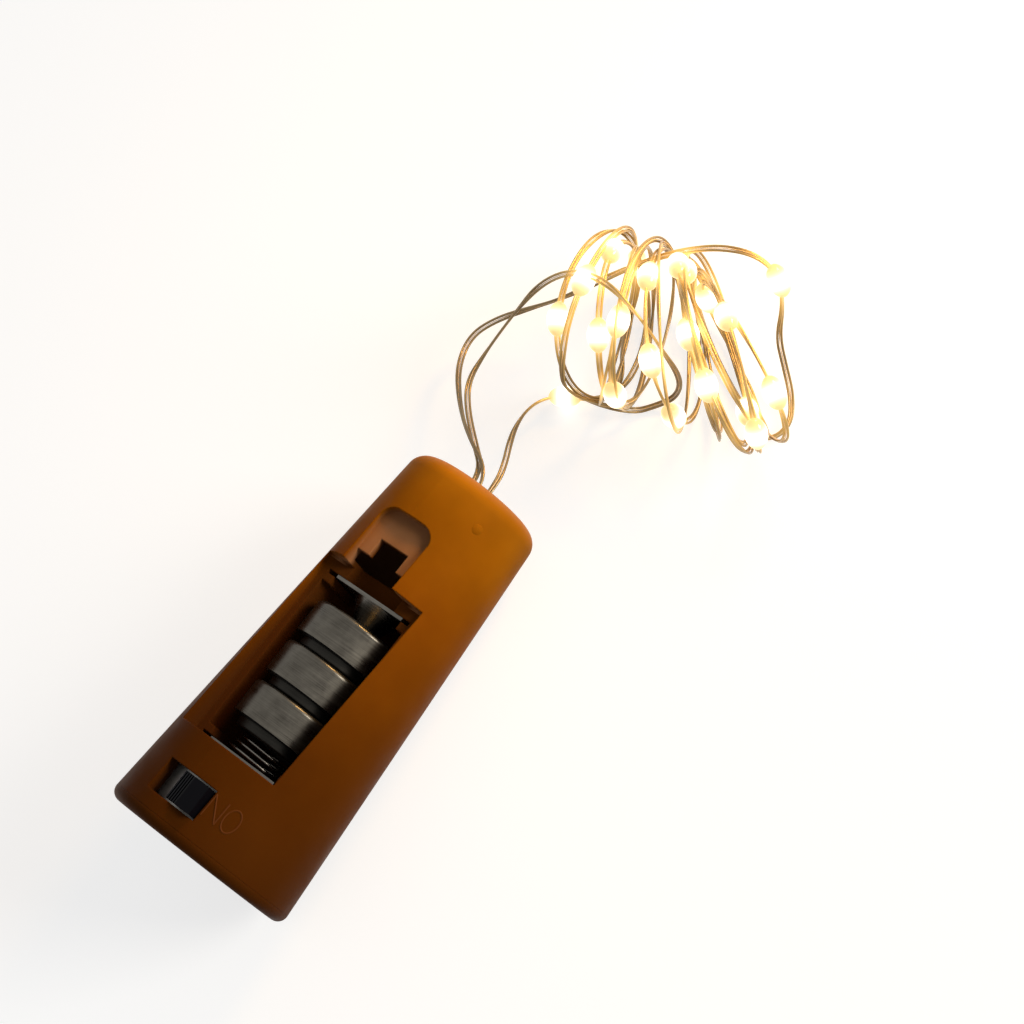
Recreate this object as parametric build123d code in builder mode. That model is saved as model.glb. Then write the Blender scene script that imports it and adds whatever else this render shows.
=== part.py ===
from build123d import *
import os
from math import atan, cos, hypot, inf, pi, radians, sin, tan
from numpy import array, cumsum, diff
from numpy.linalg import norm

os.makedirs("parts", exist_ok=True)

# Driving dimensions of the cork, in millimetres
cork_length = 50.0
wide_diameter = 23.2
narrow_diameter = 16.4
wall = 1.3
end_wall = 1.6
wide_rounding = 1.2
narrow_rounding = 2.0

# Button cells and the trough that holds them
cell_diameter = 11.6
cell_height = 5.4
can_height = 4.1
can_rounding = 0.55
can_wall = 0.3
rim_width = 1.1
cap_rounding = 0.3
gasket_width = 0.4
gasket_proud = 0.15
gasket_depth = 1.6
cell_count = 3
cell_play = 0.3
touch_gap = 0.03
cell_axis_height = 1.7
trough_wall = 1.0

# Mouth of the bay and the ledge for its cover
mouth_start = 11.0
ledge_width = 0.9
ledge_height = 5.2
ledge_depth = 1.5

# Recess and hole for the cover's latch
recess_width = 7.3
recess_length = 7.6
recess_corner = 1.8
recess_floor = 7.2
recess_skin = 1.0
recess_side_wall = 0.9
hook_hole_width = 4.0
hook_hole_length = 4.0
hook_throat_length = 1.8
hook_hole_depth = 4.0
ledge_lap = 0.6

# Contacts in the bay
plate_thickness = 0.4
plate_side_play = 0.2
plate_height_over_axis = 3.3
bump_base_diameter = 6.4
bump_top_diameter = 3.0
bump_height = 2.82
rib_width = 1.0
rib_thickness = 0.9
rib_gap = 0.1
tab_width = 2.0
tab_proud = 0.6
tab_drop = 3.4
tab_play = 0.05
spring_wire = 0.4
spring_length = 2.55
spring_base_radius = 4.0
spring_top_radius = 3.0
spring_quarter_turns = 11

# Slide switch
window_width = 7.0
window_length = 3.9
window_start = 3.1
knob_width = 4.2
knob_end_gap = 0.2
knob_lift = 0.7
knob_slant = 0.9
grip_rib_count = 5
grip_rib_depth = 0.3
stem_width = 1.6
stem_length = 1.5
frame_width = 9.0
frame_length = 5.0
frame_depth = 3.4
frame_sheet = 0.3
window_depth = 2.86
slide_gap = 0.1
base_thickness = 0.8
terminal_width = 0.6
terminal_thickness = 0.4
terminal_pitch = 2.0
terminal_length = 1.8
wiper_thickness = 0.3
pad_width = 0.8

# End cap
cap_disc = 1.3
spigot_depth = 1.2
spigot_wall = 0.9
spigot_play = 0.05
prong_width = 1.2
prong_depth = 1.0

# Wire bore and internal leads
bore_diameter = 4.4
seal_play = 0.02
lead_diameter = 0.6
lead_gap = 0.2

# Light string
string_diameter = 0.75
coil_floor = 0.5
coil_left = (-1.2, 49.5)
coil_right = (17.4, 53.4)
loop_half_height = 7.6
loop_half_length_left = 9.4
loop_half_length_right = 11.4
layer_inset = 1.65
loop_count = 15.5
yaw_left = 122
yaw_right = 146
lean_left_share = -0.25
lean_right_share = 0.6
turnback_share = 0.03
layer_change_turns = 0.5
straight_run = 2.4
lead_out_exit = (-1.3, 0.7)
lead_back_exit = (0.9, 0.3)
branch_exit = (0, 1.2)
arc_share = 0.45
small_turn = 0.001
gap_samples = 8
drop_length = 3.8
drop_diameter = 2.4
drop_place_shares = (0.02, 0.065, 0.137, 0.186, 0.243, 0.314, 0.389, 0.439, 0.51,
                     0.555, 0.601, 0.655, 0.707, 0.779, 0.836, 0.889, 0.961)
chip_length = 0.8
chip_width = 0.6
chip_height = 0.35
chip_gap = 0.03

# Place of the cork at rest: it lies on its lowest line, bay upwards
wide_radius = wide_diameter / 2
narrow_radius = narrow_diameter / 2
lean = atan((wide_radius - narrow_radius) / cork_length)
edge_share = 0.99
end_rounding = min(wide_rounding, edge_share * cap_disc * tan(pi / 4 - lean / 2) / cos(lean))


def radius_at(along):
    """Outer radius of the cork at a distance from its wide face."""
    return wide_radius - along * tan(lean)


def corner_reach(along, rounding, side):
    """Furthest reach of one rounded end along the floor, from the wide face's centre."""
    middle = along - side * rounding
    off_axis = radius_at(middle) - rounding / cos(lean)
    return middle * cos(lean) + side * (off_axis * sin(lean) + rounding)


wide_reach = corner_reach(0, end_rounding, -1)
narrow_reach = corner_reach(cork_length, narrow_rounding, 1)
cork = Plane(
    origin=(0, -(wide_reach + narrow_reach) / 2, wide_radius * cos(lean)),
    x_dir=(1, 0, 0),
    z_dir=(0, sin(lean), cos(lean)),
)


def place(across, along, up):
    """A point given across the cork, along its axis from the wide face, and up over the axis."""
    return cork.from_local_coords(Vector(across, along, up))


axis_direction = cork.y_dir


def station(along):
    """A plane square to the axis; its own y points up, and it looks to the wide end."""
    return Plane(origin=place(0, along, 0), x_dir=cork.x_dir, z_dir=-cork.y_dir)


def level(up):
    """A plane along the axis, at a height over it, that looks out of the bay."""
    return cork.offset(up)


cork_axis = Axis(place(0, 0, 0), axis_direction)
cell_axis = Axis(place(0, 0, cell_axis_height), axis_direction)
cell_radius = cell_diameter / 2
cap_radius = cell_radius - rim_width
trough_radius = cell_radius + cell_play
stack_start = mouth_start + plate_thickness + spring_length
stack_end = stack_start + cell_count * cell_height
plate_front = stack_end + touch_gap + bump_height
plate_back = plate_front + plate_thickness
mouth_end = plate_back + ledge_depth
mouth_width = 2 * (trough_radius + ledge_width)
cavity_end = cork_length - end_wall
floor_under_trough = cell_axis_height - trough_radius - trough_wall
bay_end = mouth_end + ledge_lap
back_wall = bay_end - plate_back
recess_end = mouth_end + recess_length
chamber_end = mouth_start - trough_wall
knob_length = window_length - 2 * knob_end_gap
window_middle = window_start + window_length / 2
frame_top = radius_at(window_middle) - window_depth
knob_travel = window_width - knob_width - 2 * knob_end_gap
frame_bottom = frame_top - frame_depth


def line_plane(up):
    """A plane through a line along the axis, at a height over it, for profiles to revolve."""
    return Plane(origin=place(0, 0, up), x_dir=cork.y_dir, z_dir=cork.x_dir)


def finish(piece, label):
    """Label a piece and write it under its own name."""
    piece.part.label = label
    export_step(piece.part, f"parts/{label}.step")


# Space inside the shell: trough, switch pads and latch floor are left standing in it
with BuildPart() as hollow:
    with BuildSketch(line_plane(0)):
        with BuildLine():
            Polyline(
                (cap_disc, 0),
                (cap_disc, radius_at(cap_disc) - wall),
                (cavity_end, radius_at(cavity_end) - wall),
                (cavity_end, 0),
                close=True,
            )
        make_face()
    revolve(axis=cork_axis)
    with BuildSketch(station(chamber_end)):
        with Locations((0, cell_axis_height)):
            Circle(trough_radius + trough_wall)
        with Locations((0, cell_axis_height + wide_radius / 2)):
            Rectangle(2 * (trough_radius + trough_wall), wide_radius)
    extrude(amount=chamber_end - bay_end, mode=Mode.SUBTRACT)
    with BuildSketch(level(frame_top)):
        for side in (-1, 1):
            with Locations((side * (frame_width - pad_width) / 2, window_middle)):
                Rectangle(pad_width, frame_length)
    extrude(amount=wide_radius, mode=Mode.SUBTRACT)
    with BuildSketch(level(recess_floor - recess_skin)):
        with Locations((0, (mouth_end + recess_end) / 2 + recess_side_wall)):
            Rectangle(recess_width + 2 * recess_side_wall, recess_length + 2 * recess_side_wall)
    extrude(amount=wide_radius, mode=Mode.SUBTRACT)

# Casing
with BuildPart() as casing:
    with BuildSketch(line_plane(0)):
        with BuildLine():
            Polyline(
                (cap_disc, 0),
                (cap_disc, radius_at(cap_disc)),
                (cork_length, narrow_radius),
                (cork_length, 0),
                close=True,
            )
        make_face()
        fillet(vertices().sort_by_distance((cork_length, narrow_radius))[0], narrow_rounding)
    revolve(axis=cork_axis)
    add(hollow.part, mode=Mode.SUBTRACT)
    with BuildSketch(station(mouth_start)):
        with Locations((0, cell_axis_height)):
            Circle(trough_radius)
        with Locations((0, cell_axis_height + wide_radius / 2)):
            Rectangle(2 * trough_radius, wide_radius)
    extrude(amount=mouth_start - plate_back, mode=Mode.SUBTRACT)
    with BuildSketch(level(ledge_height)):
        with Locations((0, (mouth_start + mouth_end) / 2)):
            Rectangle(mouth_width, mouth_end - mouth_start)
    extrude(amount=wide_radius, mode=Mode.SUBTRACT)
    rib_top = ledge_height
    rib_bottom = cell_axis_height - trough_radius / 2
    for rib_face in (plate_front - rib_gap, mouth_start + plate_thickness + rib_gap + rib_thickness):
        with BuildSketch(station(rib_face)):
            for side in (-1, 1):
                with Locations((side * (trough_radius - rib_width / 2 + trough_wall / 4),
                                (rib_top + rib_bottom) / 2)):
                    Rectangle(rib_width + trough_wall / 2, rib_top - rib_bottom)
        extrude(amount=rib_thickness)
    with BuildSketch(level(recess_floor)):
        with Locations((0, mouth_end + recess_length / 2)):
            Rectangle(recess_width, recess_length)
        fillet(vertices().group_by(Axis.Y)[-1], recess_corner)
    extrude(amount=wide_radius, mode=Mode.SUBTRACT)
    with BuildSketch(level(recess_floor)):
        with Locations((0, mouth_end + hook_hole_length / 2)):
            Rectangle(hook_hole_width, hook_hole_length)
        with Locations((0, (plate_back + mouth_end + hook_throat_length) / 2)):
            Rectangle(recess_width, mouth_end + hook_throat_length - plate_back)
    extrude(amount=-hook_hole_depth, mode=Mode.SUBTRACT)
    with BuildSketch(level(frame_top)):
        with Locations((0, window_middle)):
            Rectangle(window_width, window_length)
    extrude(amount=wide_radius, mode=Mode.SUBTRACT)
    with BuildSketch(station(cork_length)):
        Circle(bore_diameter / 2)
    extrude(amount=end_wall, mode=Mode.SUBTRACT)
    for slot_start, slot_depth in ((mouth_start, trough_wall), (bay_end, back_wall)):
        with BuildSketch(station(slot_start)):
            with Locations((0, cell_axis_height - tab_drop)):
                Rectangle(tab_width + 2 * tab_play, plate_thickness + 2 * tab_play)
        extrude(amount=slot_depth, mode=Mode.SUBTRACT)
finish(casing, "casing")

# End cap with its spigot and the two prongs under the switch
spigot_radius = radius_at(cap_disc + spigot_depth) - wall - spigot_play
with BuildPart() as end_cap:
    with BuildSketch(line_plane(0)):
        with BuildLine():
            Polyline(
                (0, 0),
                (0, wide_radius),
                (cap_disc, radius_at(cap_disc)),
                (cap_disc, 0),
                close=True,
            )
        make_face()
        fillet(vertices().sort_by_distance((0, wide_radius))[0], end_rounding)
        with Locations((cap_disc + spigot_depth / 2, spigot_radius - spigot_wall / 2)):
            Rectangle(spigot_depth, spigot_wall)
    revolve(axis=cork_axis)
    prong_end = window_middle + frame_length / 2
    with BuildSketch(level(frame_bottom)):
        for side in (-1, 1):
            with Locations((side * (frame_width - prong_width) / 2, (cap_disc + prong_end) / 2)):
                Rectangle(prong_width, prong_end - cap_disc)
    extrude(amount=-prong_depth)
finish(end_cap, "end_cap")


def contact_plate(face, front_side, wall_behind):
    """A flat contact across the trough, its tab bent back through the slot in the wall."""
    with BuildPart() as plate:
        outer = trough_radius - plate_side_play
        with BuildSketch(station(face)):
            with Locations((0, cell_axis_height)):
                Circle(outer)
            with Locations((0, cell_axis_height + plate_height_over_axis + outer)):
                Rectangle(2 * outer, 2 * outer, mode=Mode.SUBTRACT)
        extrude(amount=-front_side * plate_thickness)
        with BuildSketch(station(face)):
            with Locations((0, cell_axis_height - tab_drop)):
                Rectangle(tab_width, plate_thickness)
        extrude(amount=front_side * (wall_behind + tab_proud))
    return plate


# Negative plate and its coil spring
negative_plate = contact_plate(mouth_start, 1, trough_wall)
finish(negative_plate, "negative_plate")


def biarc(start, start_direction, end, end_direction):
    """Two tangent arcs from one point and direction to another."""
    span = end - start
    both = start_direction + end_direction
    bend = 2 * (1 - start_direction.dot(end_direction))
    along = span.dot(both)
    reach = (hypot(along, (bend * span.dot(span)) ** 0.5) - along) / bend
    first_corner = start + start_direction * reach
    second_corner = end - end_direction * reach
    middle = (first_corner + second_corner) / 2
    TangentArc(start, middle, tangent=start_direction)
    TangentArc(middle, end, tangent=second_corner - first_corner)


def least_gap(path, diameter):
    """Least clear distance of a tube to itself, measured on points along its path."""
    spots = array([
        tuple(edge @ (sample / gap_samples))
        for edge in path.edges()
        for sample in range(gap_samples)
    ])
    travelled = cumsum(norm(diff(spots, axis=0), axis=1))
    nearest = inf
    for index in range(1, len(travelled)):
        beyond = travelled[index:] - travelled[index - 1] > 2 * pi * diameter
        if beyond.any():
            distances = norm(spots[index + 1:][beyond] - spots[index], axis=1)
            nearest = min(nearest, distances.min())
    return nearest - diameter


def coil_tube(stops, diameter, label):
    """One unbroken tube through places and directions, two arcs from each to the next."""
    with BuildPart() as tube:
        with BuildLine() as path:
            for here, there in zip(stops, stops[1:]):
                biarc(*here, *there)
        with BuildSketch(Plane(origin=path.line @ 0, z_dir=path.line % 0)):
            Circle(diameter / 2)
        sweep()
    length = path.wire().length
    filled_share = tube.part.volume / (pi * (diameter / 2) ** 2 * length)
    print(label, "length", round(length, 1), "filled share", round(filled_share, 4))
    print(label, "least gap to itself", round(least_gap(path, diameter), 3))
    finish(tube, label)
    return tube, path.edges()


spring_foot = mouth_start + plate_thickness + spring_wire / 2 + touch_gap
spring_head = stack_start - spring_wire / 2 - touch_gap


def spring_point(quarter):
    """Place and direction on the conical coil after a number of quarter turns."""
    share = quarter / spring_quarter_turns
    radius = spring_base_radius + share * (spring_top_radius - spring_base_radius)
    climb = (spring_head - spring_foot) / (spring_quarter_turns * pi / 2)
    angle = quarter * pi / 2
    shrink = (spring_top_radius - spring_base_radius) / (spring_quarter_turns * pi / 2)
    point = place(
        radius * cos(angle),
        spring_foot + climb * angle,
        cell_axis_height + radius * sin(angle),
    )
    ahead = place(
        radius * cos(angle) - radius * sin(angle) + shrink * cos(angle),
        spring_foot + climb * angle + climb,
        cell_axis_height + radius * sin(angle) + radius * cos(angle) + shrink * sin(angle),
    )
    return point, (ahead - point).normalized()


spring_stops = [spring_point(quarter) for quarter in range(spring_quarter_turns + 1)]
coil_tube(spring_stops, spring_wire, "contact_spring")

# Positive plate with its drawn bump
with BuildPart() as positive_plate:
    add(contact_plate(plate_back, -1, back_wall).part)
    with BuildSketch(line_plane(cell_axis_height)):
        with BuildLine():
            Polyline(
                (plate_front, 0),
                (plate_front, bump_base_diameter / 2),
                (plate_front - bump_height, bump_top_diameter / 2),
                (plate_front - bump_height, 0),
                close=True,
            )
        make_face()
    revolve(axis=cell_axis)
finish(positive_plate, "positive_plate")


# Button cells, counted from the narrow end
def cell_can(face):
    """Positive can: a drawn cup whose rim is turned in over the gasket."""
    rim = face - can_height
    lip = cap_radius + gasket_width
    with BuildPart() as can:
        with BuildSketch(line_plane(cell_axis_height)):
            with BuildLine():
                Polyline(
                    (face, 0),
                    (face, cell_radius),
                    (rim, cell_radius),
                    (rim, lip),
                    (rim + can_wall, lip),
                    (rim + can_wall, cell_radius - can_wall),
                    (face - can_wall, cell_radius - can_wall),
                    (face - can_wall, 0),
                    close=True,
                )
            make_face()
            fillet(vertices().sort_by_distance((face, cell_radius))[0], can_rounding)
        revolve(axis=cell_axis)
    return can


def cell_gasket(face):
    """Nylon ring between the can's rim and the cap."""
    rim = face - can_height
    with BuildPart() as gasket:
        with BuildSketch(line_plane(cell_axis_height)):
            with Locations((rim + (gasket_depth - gasket_proud) / 2,
                            cap_radius + gasket_width / 2)):
                Rectangle(gasket_depth + gasket_proud, gasket_width)
        revolve(axis=cell_axis)
    return gasket


def cell_cap(face):
    """Negative cap, closed over the cell's filling."""
    inner_end = face - can_wall - touch_gap
    foot = face - cell_height + touch_gap
    with BuildPart() as cap:
        with BuildSketch(line_plane(cell_axis_height)):
            with Locations(((inner_end + foot) / 2, cap_radius / 2)):
                Rectangle(inner_end - foot, cap_radius)
            fillet(vertices().sort_by_distance((foot, cap_radius))[0], cap_rounding)
        revolve(axis=cell_axis)
    return cap


for number in range(cell_count):
    positive_face = stack_end - number * cell_height
    finish(cell_can(positive_face), f"cell_{number + 1}_can")
    finish(cell_gasket(positive_face), f"cell_{number + 1}_gasket")
    finish(cell_cap(positive_face), f"cell_{number + 1}_cap")

# Slide switch: frame, base and terminals
rest_across = knob_travel / 2
base_top = frame_bottom + base_thickness
with BuildPart() as switch_frame:
    with BuildSketch(level(frame_top)):
        with Locations((0, window_middle)):
            Rectangle(frame_width, frame_length)
    extrude(amount=-frame_depth)
    with BuildSketch(level(frame_top - frame_sheet)):
        with Locations((0, window_middle)):
            Rectangle(frame_width - 2 * frame_sheet, frame_length - 2 * frame_sheet)
    extrude(amount=-frame_depth, mode=Mode.SUBTRACT)
    with BuildSketch(level(frame_top)):
        with Locations((0, window_middle)):
            Rectangle(stem_width + knob_travel + 2 * slide_gap, stem_length + 2 * slide_gap)
    extrude(amount=-frame_sheet, mode=Mode.SUBTRACT)
finish(switch_frame, "switch_frame")

with BuildPart() as switch_base:
    with BuildSketch(level(base_top)):
        with Locations((0, window_middle)):
            Rectangle(frame_width - 2 * frame_sheet, frame_length - 2 * frame_sheet)
            with GridLocations(terminal_pitch, 0, 3, 1):
                Rectangle(terminal_width, terminal_thickness, mode=Mode.SUBTRACT)
    extrude(amount=-base_thickness)
finish(switch_base, "switch_base")

with BuildPart() as switch_terminals:
    with BuildSketch(level(base_top)):
        with Locations((0, window_middle)):
            with GridLocations(terminal_pitch, 0, 3, 1):
                Rectangle(terminal_width, terminal_thickness)
    extrude(amount=-base_thickness - terminal_length)
finish(switch_terminals, "switch_terminals")

# Knob with its stem and grip, and the wiper under it
wiper_top = base_top + touch_gap + wiper_thickness
knob_foot = frame_top + slide_gap
knob_top = radius_at(window_middle) + knob_lift
with BuildPart() as switch_knob:
    with BuildSketch(level(wiper_top)):
        with Locations((rest_across, window_middle)):
            Rectangle(stem_width, stem_length)
    extrude(amount=knob_foot - wiper_top)
    rib_pitch = knob_width / 2 / grip_rib_count
    slope = knob_slant / (knob_width / 2)
    grip_left = rest_across - knob_width / 2
    with BuildSketch(station(window_middle + knob_length / 2)):
        with BuildLine():
            outline = [(grip_left, knob_foot), (grip_left + knob_width, knob_foot),
                       (grip_left + knob_width, knob_top)]
            for rib in range(grip_rib_count, 0, -1):
                edge = rest_across - (grip_rib_count - rib) * rib_pitch
                drop = slope * (grip_rib_count - rib) * rib_pitch
                outline.append((edge, knob_top - drop))
                outline.append((edge - rib_pitch / 2, knob_top - drop - slope * rib_pitch / 2))
                outline.append((edge - rib_pitch / 2, knob_top - drop - grip_rib_depth))
                outline.append((edge - rib_pitch, knob_top - drop - slope * rib_pitch - grip_rib_depth))
            Polyline(*outline, close=True)
        make_face()
    extrude(amount=knob_length)
finish(switch_knob, "switch_knob")

with BuildPart() as switch_wiper:
    with BuildSketch(level(base_top + touch_gap)):
        with Locations((rest_across, window_middle)):
            Rectangle(terminal_pitch + terminal_width, stem_length)
    extrude(amount=wiper_thickness)
finish(switch_wiper, "switch_wiper")

# Glue plug in the bore of the narrow end
with BuildPart() as wire_seal:
    with BuildSketch(station(cork_length)):
        Circle(bore_diameter / 2 - seal_play)
    extrude(amount=end_wall)
finish(wire_seal, "wire_seal")


def corner_radii(points):
    """Largest tangent arc at each corner of a route that its two runs allow."""
    places = [Vector(point) for point in points]
    radii = []
    for before, here, after in zip(places, places[1:], places[2:]):
        turn = radians((here - before).get_angle(after - here))
        shorter_run = min((here - before).length, (after - here).length)
        radii.append(arc_share * shorter_run / tan(turn / 2))
    return radii


def routed_tube(points, diameter, label):
    """A tube of straight runs joined by tangent arcs; its radii and volume are printed."""
    radii = corner_radii(points)
    with BuildPart() as tube:
        with BuildLine() as path:
            FilletPolyline(*points, radius=radii)
        with BuildSketch(Plane(origin=path.line @ 0, z_dir=path.line % 0)):
            Circle(diameter / 2)
        sweep()
    length = path.wire().length
    filled_share = tube.part.volume / (pi * (diameter / 2) ** 2 * length)
    print(label, "radii", [round(radius, 1) for radius in radii])
    print(label, "length", round(length, 1), "filled share", round(filled_share, 4))
    finish(tube, label)
    return tube


def between(first, last, share):
    """A value part of the way from the first to the last."""
    return first + share * (last - first)


# Internal leads: cell tabs to the switch and to the string, round the outside of the trough
tab_up = cell_axis_height - tab_drop
pin_foot = base_top - base_thickness - terminal_length
under_trough = floor_under_trough - lead_gap - lead_diameter / 2
negative_tab_end = chamber_end - tab_proud
positive_tab_end = bay_end + tab_proud
lead_step = 2 * lead_diameter
last_bend = cavity_end - lead_step
routed_tube(
    [
        place(0, negative_tab_end, tab_up),
        place(0, negative_tab_end - lead_step, tab_up),
        place(terminal_pitch / 2, window_middle + lead_step, tab_up + lead_step),
        place(terminal_pitch, window_middle, pin_foot - lead_step),
        place(terminal_pitch, window_middle, pin_foot),
    ],
    lead_diameter,
    "lead_negative",
)
routed_tube(
    [
        place(0, window_middle, pin_foot),
        place(0, window_middle, pin_foot - 2 * lead_step),
        place(-lead_diameter, window_middle + lead_diameter, tab_up - lead_diameter),
        place(-lead_step, window_middle + lead_step, under_trough + lead_step),
        place(-lead_diameter, chamber_end, under_trough),
        place(lead_diameter, stack_start, under_trough - lead_diameter),
        place(-lead_diameter, (stack_start + stack_end) / 2, under_trough),
        place(lead_diameter, stack_end, under_trough),
        place(0, bay_end, under_trough - lead_diameter),
        place(-lead_diameter, between(bay_end, last_bend, 1 / 3), under_trough + lead_diameter),
        place(-lead_step, between(bay_end, last_bend, 2 / 3), under_trough / 2),
        place(-lead_step, last_bend, -lead_step),
        place(-lead_step, cavity_end, -lead_step),
    ],
    lead_diameter,
    "lead_switch",
)
routed_tube(
    [
        place(0, positive_tab_end, tab_up),
        place(0, positive_tab_end + lead_step, tab_up),
        place(lead_diameter, between(bay_end, last_bend, 1 / 2), tab_up + lead_diameter),
        place(lead_step, between(bay_end, last_bend, 3 / 4), -lead_diameter),
        place(lead_step, last_bend, lead_diameter),
        place(lead_step, cavity_end, lead_diameter),
    ],
    lead_diameter,
    "lead_positive",
)


coil_span = Vector(coil_right) - Vector(coil_left)
half_count = loop_count / 2


def coil_place(turn):
    """A point of the coil: its loops fan out and lean to the right, then wind back inside."""
    share = 1 - hypot(turn / half_count - 1, turnback_share)
    inset = layer_inset * min(max((turn - half_count) / layer_change_turns, 0), 1)
    yaw = radians(between(yaw_left, yaw_right, share))
    half_length = between(loop_half_length_left, loop_half_length_right, share) - inset
    lean_share = between(lean_left_share, lean_right_share, share)
    upright = (coil_span.normalized() * lean_share + Vector(0, 0, 1)).normalized()
    middle = Vector(coil_left) + coil_span * share
    middle += Vector(0, 0, coil_floor + loop_half_height * upright.Z)
    angle = pi / 2 - 2 * pi * turn
    across = Vector(cos(yaw), sin(yaw), 0) * (half_length * cos(angle))
    return middle + across + upright * ((loop_half_height - inset) * sin(angle))


def coil_stop(turn):
    """Place and direction of the coil after a number of turns."""
    ahead = coil_place(turn + small_turn) - coil_place(turn - small_turn)
    return coil_place(turn), ahead.normalized()


# The coil, one unbroken tube through a stop at each quarter turn
coil_stops = [coil_stop(quarter / 4) for quarter in range(int(4 * loop_count) + 1)]
string_coil, coil_arcs = coil_tube(coil_stops, string_diameter, "string_coil")

coil_start, start_direction = coil_stops[0]
coil_finish, finish_direction = coil_stops[-1]

# Free stretches of the string beside the casing, then the branch that lies over the coil
string_out_points = [
    place(lead_out_exit[0], cork_length, lead_out_exit[1]),
    place(lead_out_exit[0], cork_length + straight_run, lead_out_exit[1]),
    (-2.8, 29.6, 8.1),
    (-5.8, 31.0, 6.9),
    (-9.2, 32.4, 5.2),
    (-12.6, 34.4, 3.4),
    (-15.4, 36.9, 2.0),
    (-16.8, 39.9, 1.4),
    (-16.0, 42.4, 2.4),
    (-13.8, 43.9, 4.6),
    (-11.0, 44.0, 7.4),
    (-8.2, 43.6, 10.2),
    (-5.6, 43.2, 12.8),
    (-3.5, 43.6, 14.3),
    (-2.0, 45.1, 15.0),
    coil_start - start_direction * straight_run,
    coil_start,
]
string_lead_out = routed_tube(string_out_points, string_diameter, "string_lead_out")
string_back_points = [
    place(lead_back_exit[0], cork_length, lead_back_exit[1]),
    place(lead_back_exit[0], cork_length + straight_run, lead_back_exit[1]),
    (0.4, 29.6, 7.4),
    (-1.2, 31.4, 6.2),
    (-3.0, 33.4, 4.8),
    (-4.4, 35.7, 3.3),
    (-4.9, 38.1, 2.2),
    (-3.6, 40.0, 1.6),
    (-1.2, 40.6, 1.5),
    (1.0, 41.5, 1.5),
    (2.3, 43.4, 1.5),
    (2.5, 45.6, 1.7),
    coil_finish + finish_direction * straight_run,
    coil_finish,
]
string_lead_back = routed_tube(string_back_points, string_diameter, "string_lead_back")
string_branch_points = [
    place(branch_exit[0], cork_length, branch_exit[1]),
    place(branch_exit[0], cork_length + straight_run, branch_exit[1]),
    (-1.0, 29.8, 8.9),
    (-3.8, 31.9, 8.2),
    (-7.6, 33.6, 6.8),
    (-11.2, 35.4, 5.0),
    (-13.8, 37.8, 4.0),
    (-14.8, 40.4, 4.6),
    (-13.4, 42.8, 7.0),
    (-10.2, 45.4, 11.0),
    (-6.8, 47.9, 14.8),
    (-2.4, 50.4, 16.8),
    (1.4, 53.5, 17.0),
    (4.3, 56.4, 16.4),
    (7.3, 59.3, 15.2),
    (10.3, 61.9, 13.2),
    (12.8, 63.2, 10.4),
    (14.8, 62.4, 7.4),
    (16.2, 59.9, 4.6),
    (18.3, 56.9, 2.4),
    (20.8, 53.6, 1.0),
    (22.1, 50.6, 0.6),
    (21.1, 48.2, 0.5),
    (18.6, 47.3, 0.5),
]
string_branch = routed_tube(string_branch_points, string_diameter, "string_branch")


def on_coil(coil_share):
    """Place and direction on the coil's own arcs after a share of its turns."""
    whole, rest = divmod(coil_share * len(coil_arcs), 1)
    arc = coil_arcs[int(whole)]
    return arc @ rest, arc % rest


def run_middle(points, number):
    """Place and direction at the middle of one run of a route."""
    here, there = Vector(points[number]), Vector(points[number + 1])
    return (here + there) / 2, (there - here).normalized()


# Light sources: a chip on the wire inside a resin drop, about evenly spaced along the string
led_stops = [on_coil(place_share) for place_share in drop_place_shares]
led_stops.append(run_middle(string_out_points, 13))
led_stops.append(run_middle(string_back_points, 7))
led_stops.append(run_middle(string_branch_points, 13))
led_stops.append(run_middle(string_branch_points, 16))
with BuildPart() as led_chips:
    for spot, direction in led_stops:
        aside = Plane(origin=spot, z_dir=direction).x_dir
        seat = spot + aside * (string_diameter / 2 + chip_gap)
        with BuildSketch(Plane(origin=seat, x_dir=direction, z_dir=aside)):
            Rectangle(chip_length, chip_width)
        extrude(amount=chip_height)
finish(led_chips, "led_chips")

with BuildPart() as led_drops:
    for spot, direction in led_stops:
        aside = Plane(origin=spot, z_dir=direction).x_dir
        with BuildSketch(Plane(origin=spot, x_dir=direction, z_dir=aside)):
            SlotOverall(drop_length, drop_diameter)
            with Locations((0, -drop_diameter / 2)):
                Rectangle(drop_length, drop_diameter, mode=Mode.SUBTRACT)
        revolve(axis=Axis(spot, direction))
    for inside in (string_coil, string_lead_out, string_lead_back, string_branch, led_chips):
        add(inside.part, mode=Mode.SUBTRACT)
finish(led_drops, "led_drops")
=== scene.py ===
# %% [markdown]
# # Cork bottle light
#
# A cork-shaped stopper of orange-brown plastic lies on its side with its battery bay open. Three button
# cells sit between two contacts, a black slide switch stands at ON, and a fine string of lights comes out
# of the narrow end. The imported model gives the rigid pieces. This script gives them their finishes, and
# makes what a solid model can't show well: the loose string, its lit drops, the moulded lettering and a
# small moulding mark.

# %% Load the frame
import math

import bmesh
import bpy
from mathutils import Matrix, Vector, noise


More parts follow.
